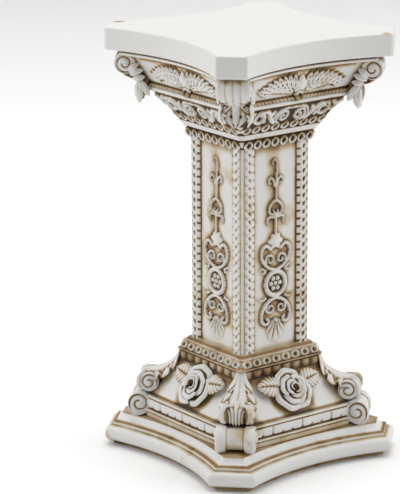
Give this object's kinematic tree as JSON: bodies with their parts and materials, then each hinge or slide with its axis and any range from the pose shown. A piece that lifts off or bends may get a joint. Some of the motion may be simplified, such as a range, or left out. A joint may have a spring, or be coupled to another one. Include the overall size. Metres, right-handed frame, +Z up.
{
  "type": "column pedestal",
  "caption": "Small square pedestal in the manner of a carved Roman column, with a spreading plinth, a panelled shaft, corner scrolls and a flat top slab for a plant or ornament.",
  "frame": {"origin": "middle of the underside of the foot", "axes": "+Z up along the pedestal's axis; X and Y square to its four sides"},
  "size_m": [0.1712, 0.1712, 0.31],
  "materials": {
    "antique_white": "cast resin painted ivory white, with a brown wash wiped into the carving"
  },
  "bodies": {
    "root": {"pedestal": "antique_white"}
  },
  "joints": []
}
